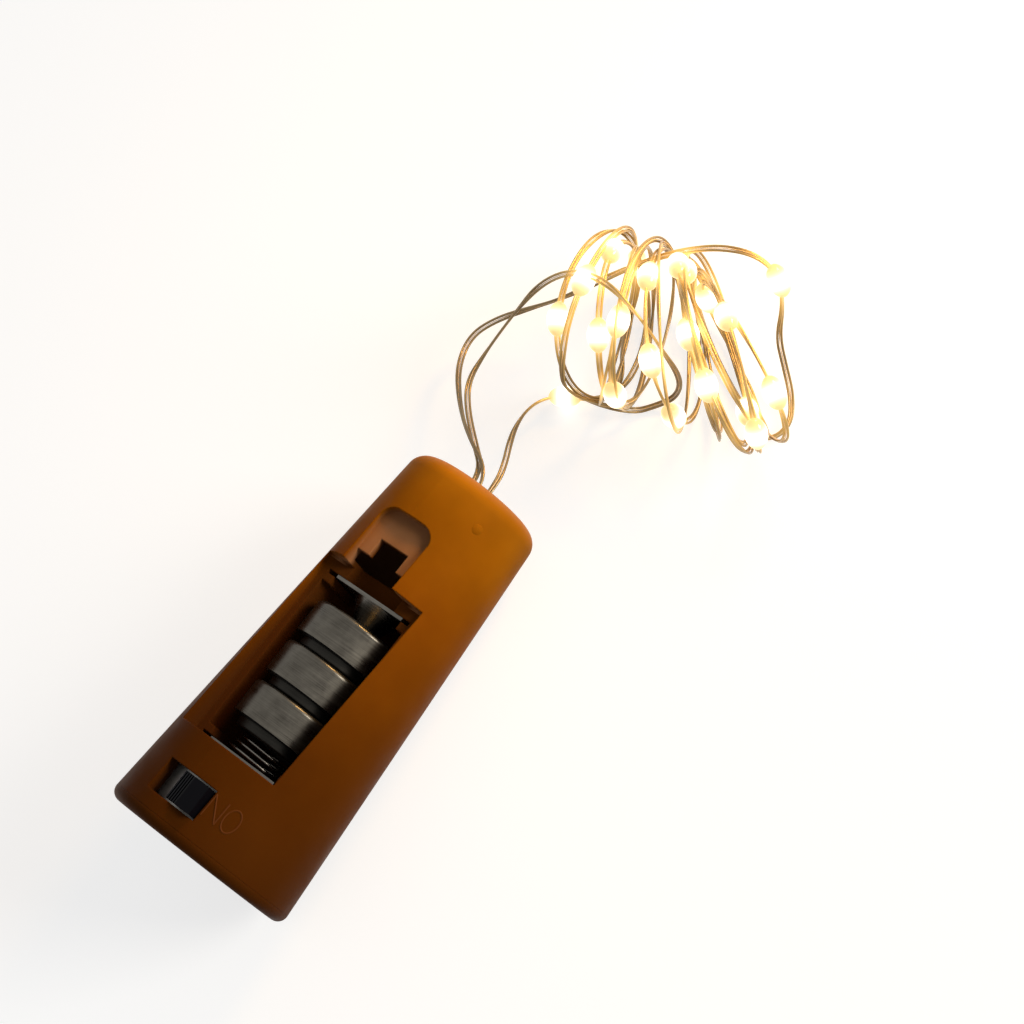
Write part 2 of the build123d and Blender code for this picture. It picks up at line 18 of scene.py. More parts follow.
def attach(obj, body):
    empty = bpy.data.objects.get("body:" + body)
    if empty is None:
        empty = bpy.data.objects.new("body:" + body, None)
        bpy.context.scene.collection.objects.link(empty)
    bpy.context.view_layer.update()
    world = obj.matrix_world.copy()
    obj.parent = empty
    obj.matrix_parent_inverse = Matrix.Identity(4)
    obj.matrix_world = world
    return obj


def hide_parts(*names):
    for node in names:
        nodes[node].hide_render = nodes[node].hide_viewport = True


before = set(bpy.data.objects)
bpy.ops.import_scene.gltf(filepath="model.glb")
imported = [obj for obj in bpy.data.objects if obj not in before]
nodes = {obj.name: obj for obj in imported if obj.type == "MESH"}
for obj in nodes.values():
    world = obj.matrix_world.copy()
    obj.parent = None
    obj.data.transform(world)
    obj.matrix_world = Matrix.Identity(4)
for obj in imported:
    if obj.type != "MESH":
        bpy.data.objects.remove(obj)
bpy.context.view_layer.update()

mm = 0.001

# %% [markdown]
# ## The camera
#
# The camera stands at the photograph's angle: it looks down steeply from the right side, and it is rolled
# so that the cork runs from the lower left to the middle of the frame. A long lens gives the photograph's
# flat perspective. Everything that this script makes is put into the scene by one function, so it stands
# here as well.

# %% Place the camera
camera_place = Vector((144.05, -5.68, 247.08)) * mm
camera_aim = Vector((4.44, 25.53, 8.0)) * mm
camera_roll = math.radians(-43.22)
sensor_width = 36.0
lens_length = 89.63
nearest_seen = 10 * mm


def put_in_scene(name, data):
    """An object that shows the given data, at the origin."""
    thing = bpy.data.objects.new(name, data)
    bpy.context.scene.collection.objects.link(thing)
    return thing


camera_data = bpy.data.cameras.new("photo_camera")
camera_data.sensor_width = sensor_width
camera_data.lens = lens_length
camera_data.clip_start = nearest_seen
camera = put_in_scene("photo_camera", camera_data)
turn_to_aim = (camera_aim - camera_place).to_track_quat("-Z", "Y")
roll = Matrix.Rotation(camera_roll, 4, "Z")
camera.matrix_world = Matrix.Translation(camera_place) @ turn_to_aim.to_matrix().to_4x4() @ roll
bpy.context.scene.camera = camera
print("camera", round((camera_aim - camera_place).length / mm), "mm from what it looks at")

# %% [markdown]
# ## Small helpers
#
# Colours are written the way a paint program shows them, in sRGB hex, and one function turns them into
# the linear values that the shaders use. A second function adds a node, sets it and links it. A third
# starts a material, and the last finds a value between two others.

# %% Colours and nodes
def linear(colour):
    """Linear RGBA from an sRGB hex colour such as "8a4a12"."""
    shares = [int(colour[place:place + 2], 16) / 255 for place in (0, 2, 4)]
    straight = [s / 12.92 if s <= 0.04045 else ((s + 0.055) / 1.055) ** 2.4 for s in shares]
    return (*straight, 1.0)


def add_node(tree, kind, inputs=None, **settings):
    """Add a node, set its properties, and fill or link its inputs."""
    node = tree.nodes.new(kind)
    for name, value in settings.items():
        setattr(node, name, value)
    for name, value in (inputs or {}).items():
        if isinstance(value, bpy.types.NodeSocket):
            tree.links.new(value, node.inputs[name])
        else:
            node.inputs[name].default_value = value
    return node


def start_material(name, **sockets):
    """A new material, its node tree and its shader, with the given shader sockets set."""
    material = bpy.data.materials.new(name)
    material.use_nodes = True
    tree = material.node_tree
    shader = tree.nodes["Principled BSDF"]
    for socket, value in sockets.items():
        shader.inputs[socket.replace("_", " ")].default_value = value
    return material, tree, shader


def between(first, last, share):
    """A value part of the way from the first to the last."""
    return first + share * (last - first)


# %% [markdown]
# ## Where the cork lies
#
# The cork tapers, and it lies on its lowest line, so its axis leans down towards the narrow end by half
# of the taper. The bay looks up. Textures that run along the cork, and the small moulded marks, are placed
# in the cork's own directions: across it, along its axis from the wide face, and up over the axis.

# %% Directions of the cork
cork_length = 50.0 * mm
wide_radius = 11.6 * mm
narrow_radius = 8.2 * mm
wide_face_place = -24.808 * mm
lean = math.atan((wide_radius - narrow_radius) / cork_length)
along_cork = Vector((0, math.cos(lean), -math.sin(lean)))
over_cork = Vector((0, math.sin(lean), math.cos(lean)))
wide_face = Vector((0, wide_face_place, wide_radius * math.cos(lean)))


def on_cork(across, along, up):
    """A point of the frame from its place in the cork's own directions, in metres."""
    return wide_face + Vector((across, 0, 0)) + along_cork * along + over_cork * up


def cork_radius(along):
    """Outer radius of the cork at a distance from its wide face."""
    return wide_radius - along * math.tan(lean)


def on_skin(arc, along, lift=0.0):
    """A point on the cork's skin, at an arc length from its top line, raised by lift."""
    radius = cork_radius(along)
    angle = arc / radius
    return on_cork((radius + lift) * math.sin(angle), along, (radius + lift) * math.cos(angle))


print("the axis leans by", round(math.degrees(lean), 2), "degrees")

# %% [markdown]
# ## Moulded polystyrene
#
# The shell is cheap polystyrene with an orange-brown pigment. It lets a little light in, so its thin rims
# glow orange, and its pigment clouds slightly. The mould left a satin skin with a very fine grain and only
# a low sheen. A colour ramp runs along the cork and paints the light that the string throws on it: the
# plastic is drawn lighter at the narrow end, beside the string, and browner at the wide end. The material
# reads Object coordinates and turns them into the cork's own directions, so its clouds and grain have their
# real sizes.

# %% Cork plastic, its colour along the cork
cloud_size = 9 * mm
cork_plastic, tree, shader = start_material(
    "orange_brown_polystyrene", IOR=1.55, Specular_IOR_Level=0.015, Specular_Tint=linear("e0a060"),
    Subsurface_Weight=0.08, Subsurface_Scale=2.0 * mm,
)
shader.inputs["Subsurface Radius"].default_value = (1.0, 0.35, 0.08)
place = add_node(tree, "ShaderNodeTexCoord").outputs["Object"]
to_cork = Matrix.Rotation(lean, 3, "X")
cork_place = add_node(tree, "ShaderNodeMapping", {
    "Vector": place, "Rotation": (lean, 0, 0), "Location": tuple(-(to_cork @ wide_face)),
}).outputs[0]
split = add_node(tree, "ShaderNodeSeparateXYZ", {"Vector": cork_place})
fade = add_node(tree, "ShaderNodeMapRange", {"Value": split.outputs["Y"], "From Max": cork_length})
# The ramp is the plastic's brown with painted light on it: its lighter tones towards the narrow end are the
# string's glow.
tone_and_painted_glow = add_node(tree, "ShaderNodeValToRGB", {"Fac": fade.outputs[0]})
tones = tone_and_painted_glow.color_ramp.elements
tones[0].color = linear("482407")
tones[1].color = linear("a06410")
for position, colour in ((0.3, "572c05"), (0.5, "6e3a05"), (0.7, "7e4406"), (0.9, "945808")):
    tones.new(position).color = linear(colour)
cloud = add_node(tree, "ShaderNodeTexNoise", {"Vector": cork_place, "Scale": 1 / cloud_size, "Detail": 3.0})
cloud_amount = add_node(tree, "ShaderNodeMapRange", {
    "Value": cloud.outputs["Fac"], "From Min": 0.35, "From Max": 0.7, "To Min": 0.0, "To Max": 0.3,
})
clouded = add_node(tree, "ShaderNodeMix", {
    "Factor": cloud_amount.outputs[0], "A": tone_and_painted_glow.outputs["Color"], "B": linear("3c1a03"),
}, data_type="RGBA")
print("colour ramp of", len(tones), "tones along the cork")

# %% [markdown]
# Below the round skin, less light reaches the plastic, and the material paints that shade into its colour:
# the bay is drawn a dull dark brown, and the shallow latch recess at its narrow end a greyer middle brown.
# A point's depth is the skin's radius there less its distance from the axis, so the shader can tell the
# inside from the skin without an image map. The outer face of the wide end would count as inside too, so
# the first stretch of the cork is left out.

# %% Cork plastic, its shade inside
shade_begins = 0.15 * mm
shade_full = 1.3 * mm
shade_share = 0.8
recess_start = 34.6 * mm
recess_bottom = 1.6 * mm
bay_tone_full = 2.4 * mm
wide_end_stretch = 2.5 * mm
flat = add_node(tree, "ShaderNodeVectorMath", {
    0: cork_place, 1: (1.0, 0.0, 1.0),
}, operation="MULTIPLY")
off_axis = add_node(tree, "ShaderNodeVectorMath", {0: flat.outputs[0]}, operation="LENGTH")
skin = add_node(tree, "ShaderNodeMapRange", {
    "Value": fade.outputs[0], "To Min": wide_radius, "To Max": narrow_radius,
})
depth = add_node(tree, "ShaderNodeMath", {
    0: skin.outputs[0], 1: off_axis.outputs["Value"],
}, operation="SUBTRACT")
shade = add_node(tree, "ShaderNodeMapRange", {
    "Value": depth.outputs[0], "From Min": shade_begins, "From Max": shade_full, "To Max": shade_share,
})
inner = add_node(tree, "ShaderNodeMath", {
    0: split.outputs["Y"], 1: wide_end_stretch,
}, operation="GREATER_THAN")
shade_inside = add_node(tree, "ShaderNodeMath", {
    0: shade.outputs[0], 1: inner.outputs[0],
}, operation="MULTIPLY")
below_recess = add_node(tree, "ShaderNodeMapRange", {
    "Value": depth.outputs[0], "From Min": recess_bottom, "From Max": bay_tone_full,
})
beside_bay = add_node(tree, "ShaderNodeMath", {
    0: split.outputs["Y"], 1: recess_start,
}, operation="LESS_THAN")
deep = add_node(tree, "ShaderNodeMath", {
    0: below_recess.outputs[0], 1: beside_bay.outputs[0],
}, operation="MAXIMUM")
# Both tones are painted shade: a greyer middle brown in the latch recess, and a dark brown deeper down and
# all along the bay.
painted_inside_shade = add_node(tree, "ShaderNodeMix", {
    "Factor": deep.outputs[0], "A": linear("9a6c4a"), "B": linear("4c280f"),
}, data_type="RGBA")
shaded = add_node(tree, "ShaderNodeMix", {
    "Factor": shade_inside.outputs[0], "A": clouded.outputs["Result"], "B": painted_inside_shade.outputs["Result"],
}, data_type="RGBA")
tree.links.new(shaded.outputs["Result"], shader.inputs["Base Color"])
print("the bay darkens from", round(shade_begins / mm, 2), "to", round(shade_full / mm, 2), "mm deep")

# %% [markdown]
# Handling scuffs the skin a little, so its roughness varies over a few millimetres. The mould's grain is a
# low bump, drawn a little coarser than the real one, which would be too fine to show. The bevel node rounds
# the look of the sharp mould edges by a fifth of a millimetre.

# %% Cork plastic, its gloss and grain
scuff_size = 3 * mm
grain_size = 0.35 * mm
grain_depth = 0.02 * mm
edge_radius = 0.2 * mm
scuff = add_node(tree, "ShaderNodeTexNoise", {"Vector": cork_place, "Scale": 1 / scuff_size, "Detail": 6.0})
gloss = add_node(tree, "ShaderNodeMapRange", {
    "Value": scuff.outputs["Fac"], "From Min": 0.3, "From Max": 0.7, "To Min": 0.38, "To Max": 0.52,
})
tree.links.new(gloss.outputs[0], shader.inputs["Roughness"])
grain = add_node(tree, "ShaderNodeTexNoise", {"Vector": cork_place, "Scale": 1 / grain_size, "Detail": 2.0})
edge_round = add_node(tree, "ShaderNodeBevel", {"Radius": edge_radius}, samples=4)
grain_bump = add_node(tree, "ShaderNodeBump", {
    "Height": grain.outputs["Fac"], "Strength": 0.25, "Distance": grain_depth,
    "Normal": edge_round.outputs[0],
})
tree.links.new(grain_bump.outputs[0], shader.inputs["Normal"])
for name in ("casing", "end_cap"):
    nodes[name].data.materials.clear()
    nodes[name].data.materials.append(cork_plastic)
print("cork plastic on the casing and its end cap")

# %% [markdown]
# ## Metal and small parts
#
# The cans of the cells are drawn from nickel-plated steel and show fine circular drawing lines. Noise that
# is stretched round the cork's axis gives such lines. One function gives the three nickel finishes, because
# they differ only in tone, gloss and how strongly the lines show. The remaining small parts get finishes of
# one colour with a little unevenness.

# %% Nickel finishes
line_length = 4 * mm
line_width = 0.12 * mm
patch_size = 1.5 * mm


def nickel(name, dark, light, roughness, line_depth):
    """Nickel-plated steel with drawing lines round the cork's axis and a patchy tone."""
    material, tree, shader = start_material(name, Metallic=1.0)
    place = add_node(tree, "ShaderNodeTexCoord").outputs["Object"]
    lines_place = add_node(tree, "ShaderNodeMapping", {
        "Vector": place, "Rotation": (lean, 0, 0),
        "Scale": (1 / line_length, 1 / line_width, 1 / line_length),
    })
    lines = add_node(tree, "ShaderNodeTexNoise", {
        "Vector": lines_place.outputs[0], "Scale": 1.0, "Detail": 4.0,
    })
    patches = add_node(tree, "ShaderNodeTexNoise", {
        "Vector": place, "Scale": 1 / patch_size, "Detail": 5.0,
    })
    mixed = add_node(tree, "ShaderNodeMath", {
        0: lines.outputs["Fac"], 1: patches.outputs["Fac"],
    }, operation="ADD")
    tone = add_node(tree, "ShaderNodeMapRange", {
        "Value": mixed.outputs[0], "From Min": 0.55, "From Max": 1.45,
    })
    colour = add_node(tree, "ShaderNodeMix", {
        "Factor": tone.outputs[0], "A": linear(dark), "B": linear(light),
    }, data_type="RGBA")
    tree.links.new(colour.outputs["Result"], shader.inputs["Base Color"])
    gloss = add_node(tree, "ShaderNodeMapRange", {
        "Value": mixed.outputs[0], "From Min": 0.6, "From Max": 1.4,
        "To Min": 0.8 * roughness, "To Max": 1.3 * roughness,
    })
    tree.links.new(gloss.outputs[0], shader.inputs["Roughness"])
    bump = add_node(tree, "ShaderNodeBump", {
        "Height": lines.outputs["Fac"], "Strength": 0.5, "Distance": line_depth,
    })
    tree.links.new(bump.outputs[0], shader.inputs["Normal"])
    return material


# Drawn cans show their lines as bands of lighter and darker grey.
can_nickel = nickel("drawn_nickel_steel", "3e3a34", "5e5a52", roughness=0.3, line_depth=0.0015 * mm)
# The caps are duller, and are drawn near black as painted shade, so they read as dark bands between the
# cans.
cap_nickel_painted_shade = nickel("dull_nickel_painted_shade", "1c1b19", "302e2a", roughness=0.42, line_depth=0.001 * mm)
# The spring and the plates are the brightest metal in the bay.
bright_nickel = nickel("bright_nickel_steel", "4c4943", "706c65", roughness=0.24, line_depth=0.001 * mm)
print("three nickel finishes with lines of", round(line_width / mm, 2), "mm")


# %% Plain finishes
def plain(name, colour, roughness, metallic=0.0, unevenness=0.15, **sockets):
    """A finish of one colour with a soft unevenness of a millimetre or so."""
    material, tree, shader = start_material(name, Metallic=metallic, **sockets)
    place = add_node(tree, "ShaderNodeTexCoord").outputs["Object"]
    patches = add_node(tree, "ShaderNodeTexNoise", {
        "Vector": place, "Scale": 1 / patch_size, "Detail": 4.0,
    })
    darker = tuple(value * (1 - 2 * unevenness) for value in linear(colour)[:3])
    tone = add_node(tree, "ShaderNodeMix", {
        "Factor": patches.outputs["Fac"], "A": (*darker, 1.0), "B": linear(colour),
    }, data_type="RGBA")
    tree.links.new(tone.outputs["Result"], shader.inputs["Base Color"])
    gloss = add_node(tree, "ShaderNodeMapRange", {
        "Value": patches.outputs["Fac"], "To Min": 0.8 * roughness, "To Max": 1.2 * roughness,
    })
    tree.links.new(gloss.outputs[0], shader.inputs["Roughness"])
    return material


# Black ABS is smooth and barely shines.
knob_plastic = plain("black_abs", "0a0a0f", 0.34, IOR=1.53, Specular_IOR_Level=0.04)
# The nylon is dark and matt, and it is drawn darker still as painted shade, so the gaskets read as black
# rings.
gasket_nylon_and_shade = plain("dark_nylon_painted_shade", "0c0907", 0.55, IOR=1.53, Specular_IOR_Level=0.06)
# Phenolic board is pressed paper and resin, dull and red-brown.
board = plain("phenolic_board", "4a2713", 0.6)
# Tin leaves the pressed steel pale grey and slightly clouded.
tinned_steel = plain("tinned_steel", "8d8b86", 0.35, metallic=1.0)
# Brass is stamped from bright sheet and stays yellow.
contact_brass = plain("contact_brass", "b08a4a", 0.3, metallic=1.0)
# The leads have soft red covers with a low sheen.
lead_cover = plain("red_lead_cover", "7a1a12", 0.45, IOR=1.5)
# Hot-melt glue sets milky, with a soft shine.
set_glue = plain("hot_melt_glue", "cfc3ad", 0.25, IOR=1.49)
print("seven plain finishes")

# %% Dress the small parts
finishes = {
    can_nickel: ["cell_1_can", "cell_2_can", "cell_3_can"],
    cap_nickel_painted_shade: ["cell_1_cap", "cell_2_cap", "cell_3_cap"],
    bright_nickel: ["contact_spring", "negative_plate", "positive_plate"],
    gasket_nylon_and_shade: ["cell_1_gasket", "cell_2_gasket", "cell_3_gasket"],
    knob_plastic: ["switch_knob"],
    board: ["switch_base"],
    tinned_steel: ["switch_frame"],
    contact_brass: ["switch_terminals", "switch_wiper"],
    lead_cover: ["lead_negative", "lead_switch", "lead_positive"],
    set_glue: ["wire_seal"],
}
for finish, names in finishes.items():
    for name in names:
        nodes[name].data.materials.clear()
        nodes[name].data.materials.append(finish)
print("finishes on", sum(len(names) for names in finishes.values()), "small pieces")

# %% [markdown]
# ## The route of the string
#
# The string leaves the cork, rises in a soft arch, winds its loose loops and comes back to the cork. A
# branch leaves beside it and lies over the loops. Fine varnished copper is stiff enough to keep the shape
# that a hand gave it, so the loops stand up, fan out and differ in size. Each cord is one smooth NURBS
# curve: the points of its free stretches are listed, and the loops come from a formula with a
# gentle sway, so that no two are alike.

# %% Loops of the string
loop_count = 15.5
first_turn = 0.72
points_per_turn = 14
coil_left = Vector((-1.2, 49.5, 0)) * mm
coil_right = Vector((17.4, 53.4, 0)) * mm
coil_floor = 0.5 * mm
layer_inset = 1.0 * mm
turnback_share = 0.03
knots = (0.0, 0.34, 0.48, 0.66, 1.0)
spread_shares = (-0.02, 0.22, 0.5, 0.73, 0.93)
yaws = (110, 113, 128, 139, 149)
half_lengths = [value * mm for value in (10.4, 10.2, 11.0, 12.4, 12.2)]
half_heights = [value * mm for value in (8.0, 8.0, 7.8, 7.6, 7.4)]
lean_shares = (0.05, 0.0, 0.05, 0.05, 0.2)
spread_sway = 0.035
yaw_sway = 5
length_sway = 0.9 * mm
height_sway = 0.6 * mm
lean_sway = 0.4
rise_sway = 0.3 * mm


def along_knots(share, values):
    """A value between those at the knots on each side of a share."""
    index = max(place for place in range(len(knots) - 1) if knots[place] <= max(share, 0))
    part = (share - knots[index]) / (knots[index + 1] - knots[index])
    return between(values[index], values[index + 1], part)


def sway(turn, line):
    """A smooth wandering value between -1 and 1, with its own line for each use."""
    return 0.6 * math.sin(2.13 * turn + 2.1 * line) + 0.4 * math.sin(1.27 * turn + 4.7 * line)


def loop_point(turn):
    """A point of the string's loops after a number of turns."""
    share = 1 - math.hypot(2 * turn / loop_count - 1, turnback_share)
    inset = layer_inset * min(max(2 * turn - loop_count, 0), 1)
    spread = along_knots(share, spread_shares) + spread_sway * sway(turn, 1)
    yaw = math.radians(along_knots(share, yaws) + yaw_sway * sway(turn, 2))
    half_length = along_knots(share, half_lengths) - inset + length_sway * sway(turn, 3)
    half_height = along_knots(share, half_heights) - inset + height_sway * sway(turn, 4)
    lean_share = along_knots(share, lean_shares) + lean_sway * sway(turn, 5)
    span = coil_right - coil_left
    upright = (span.normalized() * lean_share + Vector((0, 0, 1))).normalized()
    middle = coil_left + span * spread
    middle.z = coil_floor + along_knots(share, half_heights) * upright.z + rise_sway * sway(turn, 6)
    angle = math.pi / 2 - 2 * math.pi * turn
    across = Vector((math.cos(yaw), math.sin(yaw), 0)) * (half_length * math.cos(angle))
    point = middle + across + upright * (half_height * math.sin(angle))
    point.z = max(point.z, coil_floor)
    return point


first_step = math.ceil(first_turn * points_per_turn)
last_step = int(loop_count * points_per_turn)
loops = [loop_point(step / points_per_turn) for step in range(first_step, last_step + 1)]
print(len(loops), "points in the loops, highest at", round(max(p.z for p in loops) / mm, 1), "mm")

# %% Free stretches of the string
def in_metres(places):
    """Vectors in metres from places in millimetres."""
    return [Vector(place) * mm for place in places]


straight_run = 2.4 * mm
out_start = on_cork(-1.3 * mm, cork_length, 0.7 * mm)
back_end = on_cork(0.9 * mm, cork_length, 0.3 * mm)
branch_start = on_cork(0, cork_length, 1.2 * mm)
out_route = [out_start, out_start + along_cork * straight_run] + in_metres([
    (-4.5, 29.8, 8.2),
    (-8.5, 32.8, 7.4),
    (-10.9, 35.6, 7.0),
    (-11.0, 39.3, 7.4),
    (-9.7, 44.3, 9.4),
    (-7.2, 48.3, 12.6),
    (-2.6, 50.6, 16.0),
    (2.8, 50.9, 17.6),
    (7.6, 49.7, 16.0),
    (9.9, 48.7, 11.0),
    (10.3, 48.4, 5.2),
    (9.2, 47.2, 1.6),
    (7.3, 45.4, 0.7),
    (5.1, 43.2, 0.6),
])
back_route = in_metres([
    (2.5, 45.6, 1.7),
    (1.9, 43.3, 1.5),
    (0.1, 41.9, 1.4),
    (-1.6, 41.3, 1.5),
    (-3.3, 40.3, 1.8),
    (-4.2, 38.8, 2.7),
    (-4.2, 36.9, 3.9),
    (-3.4, 34.5, 5.2),
    (-2.0, 32.2, 6.4),
    (-0.3, 29.9, 7.5),
]) + [back_end + along_cork * straight_run, back_end]
branch_route = [branch_start, branch_start + along_cork * straight_run] + in_metres([
    (-5.8, 30.2, 8.8),
    (-10.7, 33.4, 6.6),
    (-14.8, 37.0, 4.6),
    (-16.2, 40.8, 4.0),
    (-14.1, 43.7, 5.0),
    (-10.4, 46.5, 6.4),
    (-6.5, 49.1, 8.0),
    (-3.0, 52.5, 9.6),
    (1.2, 56.1, 11.6),
    (5.7, 58.9, 13.6),
    (10.0, 61.1, 14.6),
    (14.0, 62.3, 14.2),
    (16.8, 61.8, 12.4),
    (17.8, 59.8, 9.8),
    (17.8, 57.4, 6.6),
    (19.1, 55.6, 3.6),
    (20.8, 53.6, 1.4),
    (22.2, 51.0, 0.6),
    (21.4, 48.4, 0.5),
    (19.3, 47.8, 0.5),
])
string_route = out_route + loops + back_route


# %% Smooth curves through the routes
def smooth_curve(name, route):
    """A NURBS curve with the route's points as its control points."""
    data = bpy.data.curves.new(name, "CURVE")
    data.dimensions = "3D"
    data.resolution_u = 6
    spline = data.splines.new("NURBS")
    spline.points.add(len(route) - 1)
    for point, place in zip(spline.points, route):
        point.co = (*place, 1.0)
    spline.order_u = 3
    spline.use_endpoint_u = True
    return put_in_scene(name, data)


def points_along(curve):
    """Points read from a curve's own smooth line."""
    bpy.context.view_layer.update()
    evaluated = curve.evaluated_get(bpy.context.evaluated_depsgraph_get())
    line = bpy.data.meshes.new_from_object(evaluated)
    points = [vertex.co.copy() for vertex in line.vertices]
    bpy.data.meshes.remove(line)
    return points


def length_of(points):
    """Length of a line of points."""
    return sum((there - here).length for here, there in zip(points, points[1:]))


string_curve = smooth_curve("string_line", string_route)
branch_curve = smooth_curve("branch_line", branch_route)
string_line = points_along(string_curve)
branch_line = points_along(branch_curve)
print("string", round(length_of(string_line) / mm), "mm, branch", round(length_of(branch_line) / mm), "mm")

# %% [markdown]
# ## Lit drops
#
# Every light is a chip on the wire, sealed in a drop of clear resin that is fatter in the middle. The chip
# is so bright that the resin glows with it: white at the chip, and a warm amber towards the ends. An
# attribute on the drop's mesh holds how near each point is to the chip, and the glow reads it. Each drop
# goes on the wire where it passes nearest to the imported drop, so the two models agree. The drops repeat,
# so a Geometry Nodes tree puts one on each place and turns it with the wire.

# %% Places of the lights
drop_length = 3.9 * mm
drop_width = 2.5 * mm
same_point = 0.001 * mm


def nearest_on(line, spot):
    """Nearest point of a line to a spot, with the line's direction there."""
    best = min(range(1, len(line) - 1), key=lambda index: (line[index] - spot).length)
    return line[best], (line[best + 1] - line[best - 1]).normalized()


def drop_middles(piece):
    """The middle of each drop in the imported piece. The small hollow for its chip is passed over."""
    whole = bmesh.new()
    whole.from_mesh(piece.data)
    bmesh.ops.remove_doubles(whole, verts=whole.verts, dist=same_point)
    waiting = set(whole.verts)
    middles = []
    while waiting:
        group = [waiting.pop()]
        for vertex in group:
            near = {edge.other_vert(vertex) for edge in vertex.link_edges} & waiting
            waiting -= near
            group.extend(near)
        low = [min(vertex.co[axis] for vertex in group) for axis in range(3)]
        high = [max(vertex.co[axis] for vertex in group) for axis in range(3)]
        if (Vector(high) - Vector(low)).length > drop_width:
            middles.append((Vector(low) + Vector(high)) / 2)
    whole.free()
    return sorted(middles, key=tuple)


light_places = []
for spot in drop_middles(nodes["led_drops"]):
    choices = [nearest_on(line, spot) for line in (string_line, branch_line)]
    light_places.append(min(choices, key=lambda choice: (choice[0] - spot).length))
    print("a light", round((light_places[-1][0] - spot).length / mm, 2), "mm from its packed drop")

light_points = bpy.data.meshes.new("light_places")
light_points.from_pydata([place for place, direction in light_places], [], [])
directions = light_points.attributes.new("direction", "FLOAT_VECTOR", "POINT")
for item, (_, direction) in zip(directions.data, light_places):
    item.vector = direction
light_spots = put_in_scene("light_places", light_points)

# %% [markdown]
# The drops are cured clear resin, smooth and slightly yellow. Lit, each is brighter than anything round it,
# so the finish is a glow with a glossy skin over it. The attribute is named chip_heat, because in a shader
# the plain name heat is kept for smoke and fire.

# %% Resin
end_glow = 0.85
chip_glow = 2.6
resin, tree, shader = start_material("lit_clear_resin", Roughness=0.12, IOR=1.5)
shader.inputs["Base Color"].default_value = linear("a88850")
heat = add_node(tree, "ShaderNodeAttribute", attribute_name="chip_heat").outputs["Fac"]
glow_colour = add_node(tree, "ShaderNodeMix", {
    "Factor": heat, "A": linear("fbd48a"), "B": linear("fff6e4"),
}, data_type="RGBA")
glow_strength = add_node(tree, "ShaderNodeMapRange", {
    "Value": heat, "To Min": end_glow, "To Max": chip_glow,
})
tree.links.new(glow_colour.outputs["Result"], shader.inputs["Emission Color"])
tree.links.new(glow_strength.outputs[0], shader.inputs["Emission Strength"])
print("the resin glows", round(chip_glow / end_glow, 1), "times as bright at the chip as at its ends")

# %% One drop
end_taper = 0.12
glow_reach = 0.25 * drop_length


def drop_mesh():
    """A resin drop round the wire, with its nearness to the chip kept in an attribute."""
    mesh = bpy.data.meshes.new("resin_drop")
    shape = bmesh.new()
    bmesh.ops.create_uvsphere(shape, u_segments=20, v_segments=14, radius=1.0)
    for vertex in shape.verts:
        end_share = abs(vertex.co.z)
        fullness = 1 - end_taper * end_share ** 4
        vertex.co.x *= drop_width / 2 * fullness
        vertex.co.y *= drop_width / 2 * fullness
        vertex.co.z *= drop_length / 2
    shape.to_mesh(mesh)
    shape.free()
    heat = mesh.attributes.new("chip_heat", "FLOAT", "POINT")
    for vertex, item in zip(mesh.vertices, heat.data):
        item.value = math.exp(-((vertex.co.z / glow_reach) ** 2))
    for polygon in mesh.polygons:
        polygon.use_smooth = True
    return mesh


# %% Drops along the string
def build_drop_tree():
    """Geometry Nodes that put a drop on each point, turned along the point's direction."""
    tree = bpy.data.node_groups.new("drops_on_points", "GeometryNodeTree")
    sockets = tree.interface
    sockets.new_socket("Geometry", in_out="INPUT", socket_type="NodeSocketGeometry")
    sockets.new_socket("Drop", in_out="INPUT", socket_type="NodeSocketObject")
    sockets.new_socket("Drop Material", in_out="INPUT", socket_type="NodeSocketMaterial")
    sockets.new_socket("Geometry", in_out="OUTPUT", socket_type="NodeSocketGeometry")
    given = add_node(tree, "NodeGroupInput").outputs
    direction = add_node(tree, "GeometryNodeInputNamedAttribute", {
        "Name": "direction",
    }, data_type="FLOAT_VECTOR")
    turned = add_node(tree, "FunctionNodeAlignEulerToVector", {
        "Vector": direction.outputs[0],
    }, axis="Z")
    shape = add_node(tree, "GeometryNodeObjectInfo", {"Object": given["Drop"]})
    placed = add_node(tree, "GeometryNodeInstanceOnPoints", {
        "Points": given["Geometry"],
        "Instance": shape.outputs["Geometry"],
        "Rotation": turned.outputs[0],
    })
    real = add_node(tree, "GeometryNodeRealizeInstances", {"Geometry": placed.outputs[0]})
    dressed = add_node(tree, "GeometryNodeSetMaterial", {
        "Geometry": real.outputs[0], "Material": given["Drop Material"],
    })
    result = add_node(tree, "NodeGroupOutput")
    tree.links.new(dressed.outputs[0], result.inputs[0])
    return tree


def set_inputs(modifier, values):
    """Set a Geometry Nodes modifier's inputs, each found by its name and set by its identifier."""
    for item in modifier.node_group.interface.items_tree:
        if item.item_type == "SOCKET" and item.in_out == "INPUT" and item.name in values:
            modifier[item.identifier] = values[item.name]


def baked_mesh(source, name):
    """A plain mesh piece from an object's evaluated modifiers."""
    bpy.context.view_layer.update()
    evaluated = source.evaluated_get(bpy.context.evaluated_depsgraph_get())
    mesh = bpy.data.meshes.new_from_object(evaluated)
    mesh.name = name
    return put_in_scene(name, mesh)


drop_source = put_in_scene("resin_drop", drop_mesh())
modifier = light_spots.modifiers.new("drops", "NODES")
modifier.node_group = build_drop_tree()
set_inputs(modifier, {"Drop": drop_source, "Drop Material": resin})
lit_drops = baked_mesh(light_spots, "lit_drops")
light_spots.modifiers.remove(modifier)
bpy.data.objects.remove(drop_source)
print(len(light_places), "drops,", len(lit_drops.data.polygons), "faces")
